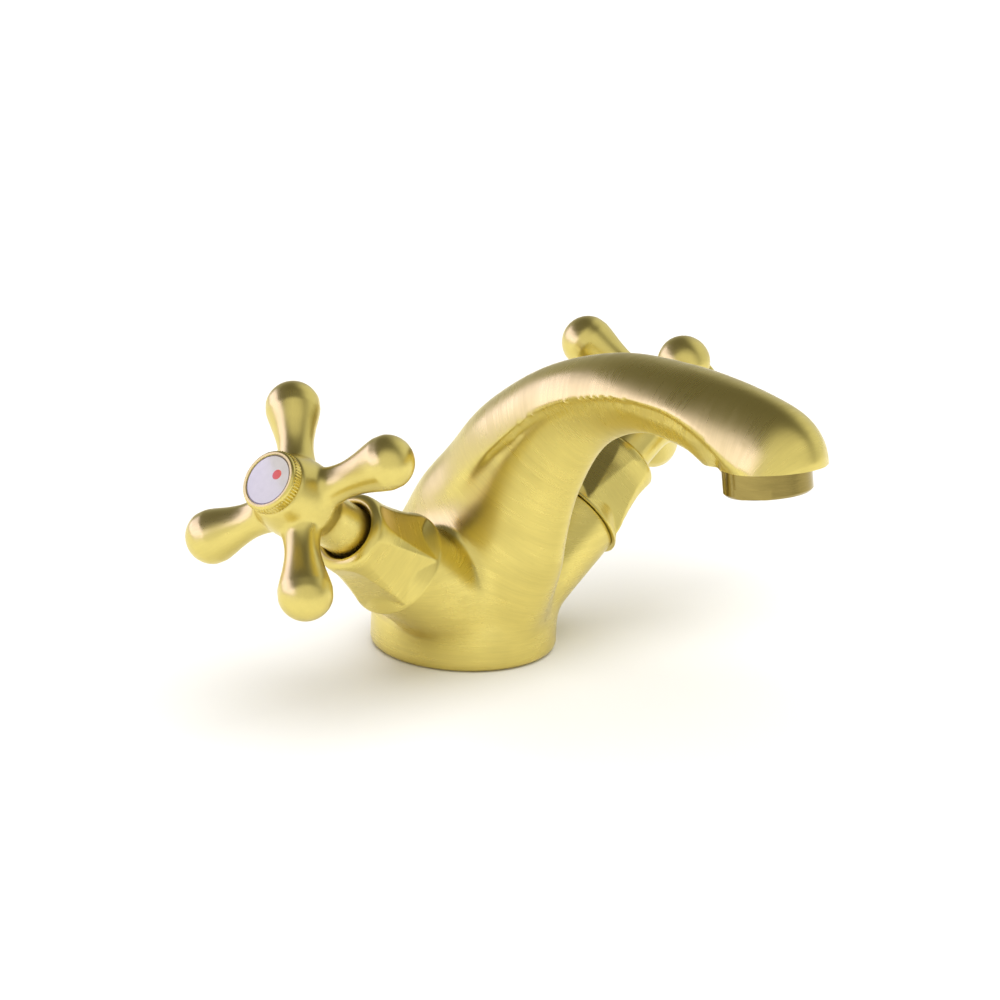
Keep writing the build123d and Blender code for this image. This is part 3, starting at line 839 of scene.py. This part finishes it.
def makePlain(name):
    finish = plainFinishes[name]
    material, nodes, links, shader = newMaterial(name)
    shader.inputs["Metallic"].default_value = finish.get("metal", 0)
    shader.inputs["Coat Weight"].default_value = finish.get("coat", 0)
    grain = addNoise(nodes, links, nodes.new("ShaderNodeTexCoord").outputs["Object"], finish["grain"], 4)
    links.new(addTint(nodes, links, finish["colour"], addRange(nodes, links, grain, 0.9, 1.06)),
              shader.inputs["Base Color"])
    links.new(addRange(nodes, links, grain, finish["rough"] * 0.85, min(1, finish["rough"] * 1.2)),
              shader.inputs["Roughness"])
    bump = nodes.new("ShaderNodeBump")
    bump.inputs["Distance"].default_value = finish["depth"] * mm
    links.new(grain, bump.inputs["Height"])
    links.new(bump.outputs["Normal"], shader.inputs["Normal"])
    return material


enamelFinish = {
    "colour": (0.57, 0.54, 0.54),
    "lineColour": (0.16, 0.12, 0.08),
    "line": (6.86, 6.96, 7.18, 7.24),     # where the thin dark line starts, is full, and ends, in mm
    "rough": 0.16,
    "coat": 0.4,
    "coatRough": 0.05,
    "grain": 500,
}


def makeEnamel():
    finish = enamelFinish
    material, nodes, links, shader = newMaterial("whiteEnamel")
    shader.inputs["Coat Weight"].default_value = finish["coat"]
    shader.inputs["Coat Roughness"].default_value = finish["coatRough"]
    middle = nodes.new("ShaderNodeAttribute")
    middle.attribute_name = "fromMiddle"
    starts = addRange(nodes, links, middle.outputs["Fac"], 0, 1, *finish["line"][:2])
    ends = addRange(nodes, links, middle.outputs["Fac"], 1, 0, *finish["line"][2:])
    speckle = addNoise(nodes, links, nodes.new("ShaderNodeTexCoord").outputs["Object"], finish["grain"])
    blend = nodes.new("ShaderNodeMix")
    blend.data_type = "RGBA"
    links.new(addMath(nodes, links, "MULTIPLY", starts, ends), blend.inputs["Factor"])
    tone = addRange(nodes, links, speckle, 0.96, 1.03)
    links.new(addTint(nodes, links, finish["colour"], tone), blend.inputs["A"])
    blend.inputs["B"].default_value = (*finish["lineColour"], 1)
    links.new(blend.outputs["Result"], shader.inputs["Base Color"])
    rough = addRange(nodes, links, speckle, finish["rough"] * 0.9, finish["rough"] * 1.3)
    links.new(rough, shader.inputs["Roughness"])
    return material


brass = {name: makeBrass(name) for name in brassFinishes}
plain = {name: makePlain(name) for name in plainFinishes}
whiteEnamel = makeEnamel()
finishes = {
    "satin_brass": brass["satinBrass"],
    "polished_brass": brass["darkPolishedBrass"],
    "machined_brass": brass["turnedBrass"],
    "white_enamel": whiteEnamel,
    "red_mark": plain["redMark"],
    "blue_mark": plain["blueMark"],
    "ceramic": plain["lappedCeramic"],
    "black_rubber": plain["blackRubber"],
    "fibre": plain["redFibre"],
    "white_nylon": plain["whiteNylon"],
    "steel": plain["stainlessSteel"],
}
slotOf = {p["node"]: p["material_slot"] for p in frame["record"]["subparts"]}
for name, node in frame["nodes"].items():
    node.data.materials.clear()
    node.data.materials.append(finishes[slotOf[name]])
print("finishes done:", len(finishes), "slots")

settle(buildCasting(), rootBody, "satin_brass", brass["castBrass"], "body_casting")
settle(buildAerator(), rootBody, "polished_brass", brass["darkPolishedBrass"], "aerator_housing")
for side, joint in sides.items():
    turning = joint["child"]
    settle(buildHood(side), rootBody, "satin_brass", brass["hoodBrass"], f"{side}_hood")
    settle(buildHandle(side), turning, "satin_brass", brass["handleBrass"], f"{side}_handle")
    settle(buildButton(side), turning, "satin_brass", brass["satinBrass"], f"{side}_index_button")
    settle(buildDisc(side), turning, "white_enamel", whiteEnamel, f"{side}_index_disc")
    dotSlot = slotOf[f"{side}_index_dot"]
    settle(buildDot(side), turning, dotSlot, finishes[dotSlot], f"{side}_index_dot")
    print(side, "valve dressed")


studio = {
    "floorSize": 6.0,
    "azimuth": -45.25,
    "elevation": 18.41,
    "roll": 2.35,
    "distance": 1.4989,
    "aimAcross": 0.010554,
    "aimUp": 0.040314,
    "lens": 189.2,
    "sensor": 36,
    "farClip": 50,
    "lightsAim": (0, -0.04, 0.05),
}


def buildFloor():
    bm = bmesh.new()
    bmesh.ops.create_grid(bm, x_segments=8, y_segments=8, size=studio["floorSize"] / 2)
    floor = toObject(bm, "paleFloor")
    material, _, _, shader = newMaterial("palePaper")
    shader.inputs["Base Color"].default_value = (0.9, 0.9, 0.9, 1)
    shader.inputs["Roughness"].default_value = 0.9
    shader.inputs["Specular IOR Level"].default_value = 0.1
    floor.data.materials.append(material)


def aimAt(obj, spot, target):
    obj.location = spot
    obj.rotation_euler = (Vector(target) - Vector(spot)).to_track_quat("-Z", "Y").to_euler()


panels = {
    "keyPanel": dict(way=(-0.66, 0.70, 0.31), distance=1.2, size=(2.4, 0.64), watts=13.4,
                     colour=(0.44, 0.40, 1.0), diffuse=False, glossy=True),
    "topPanel": dict(way=(0, 0, 1), distance=2.2, size=(3.0, 3.0), watts=70,
                     colour=(1.0, 0.99, 0.97), diffuse=True, glossy=False),
}


def addPanel(name, way, distance, size, watts, colour, diffuse, glossy):
    lamp = bpy.data.lights.new(name, "AREA")
    lamp.shape = "RECTANGLE"
    lamp.size, lamp.size_y = size
    lamp.energy = watts
    lamp.color = colour
    panel = bpy.data.objects.new(name, lamp)
    bpy.context.scene.collection.objects.link(panel)
    aim = Vector(studio["lightsAim"])
    aimAt(panel, aim + Vector(way).normalized() * distance, aim)
    panel.visible_diffuse = diffuse
    panel.visible_glossy = glossy


# the room round the tap: each glow or shade is (direction, cosine where it starts, where it is full,
# light), and a later one lies over the ones before it
room = {
    "horizon": (0.50, 0.49, 0.46),
    "glows": (
        ((0, 0, 1), 0.0, 0.75, (0.16, 0.15, 0.13)),
        ((-0.60, -0.76, 0.25), 0.35, 0.85, (0.92, 0.90, 0.86)),
        ((0.94, -0.15, 0.30), 0.55, 0.95, (0.88, 0.88, 0.84)),
    ),
}


def buildRoom():
    world = bpy.data.worlds.new("softRoom")
    bpy.context.scene.world = world
    world.use_nodes = True
    nodes, links = world.node_tree.nodes, world.node_tree.links
    way = nodes.new("ShaderNodeTexCoord").outputs["Generated"]
    light = None
    for direction, low, high, colour in room["glows"]:
        toward = nodes.new("ShaderNodeVectorMath")
        toward.operation = "DOT_PRODUCT"
        links.new(way, toward.inputs[0])
        toward.inputs[1].default_value = Vector(direction).normalized()
        share = addRange(nodes, links, toward.outputs["Value"], 0, 1, low, high)
        share.node.interpolation_type = "SMOOTHSTEP"
        blend = nodes.new("ShaderNodeMix")
        blend.data_type = "RGBA"
        links.new(share, blend.inputs["Factor"])
        blend.inputs["A"].default_value = (*room["horizon"], 1)
        blend.inputs["B"].default_value = (*colour, 1)
        if light:
            links.new(light, blend.inputs["A"])
        light = blend.outputs["Result"]
    links.new(light, nodes["Background"].inputs["Color"])


def buildLights():
    for name, panel in panels.items():
        addPanel(name, **panel)


def buildCamera():
    s = studio
    turn, lift, roll = radians(s["azimuth"]), radians(s["elevation"]), radians(s["roll"])
    level = Vector((-sin(turn), cos(turn), 0))
    right = Vector((cos(turn), sin(turn), 0))
    view = level * cos(lift) - Vector((0, 0, sin(lift)))
    up = level * sin(lift) + Vector((0, 0, cos(lift)))
    rolledRight = right * cos(roll) + up * sin(roll)
    rolledUp = up * cos(roll) - right * sin(roll)
    camera = bpy.data.objects.new("frontLeftCamera", bpy.data.cameras.new("frontLeftCamera"))
    bpy.context.scene.collection.objects.link(camera)
    place = Matrix((rolledRight, rolledUp, -view)).transposed().to_4x4()
    place.translation = -view * s["distance"] + rolledRight * s["aimAcross"] + rolledUp * s["aimUp"]
    camera.matrix_world = place
    camera.data.lens = s["lens"]
    camera.data.sensor_width = s["sensor"]
    camera.data.clip_end = s["farClip"]
    bpy.context.scene.camera = camera


buildFloor()
buildRoom()
buildLights()
buildCamera()
bpy.context.scene.view_settings.view_transform = "Standard"
print("floor, light and camera done")
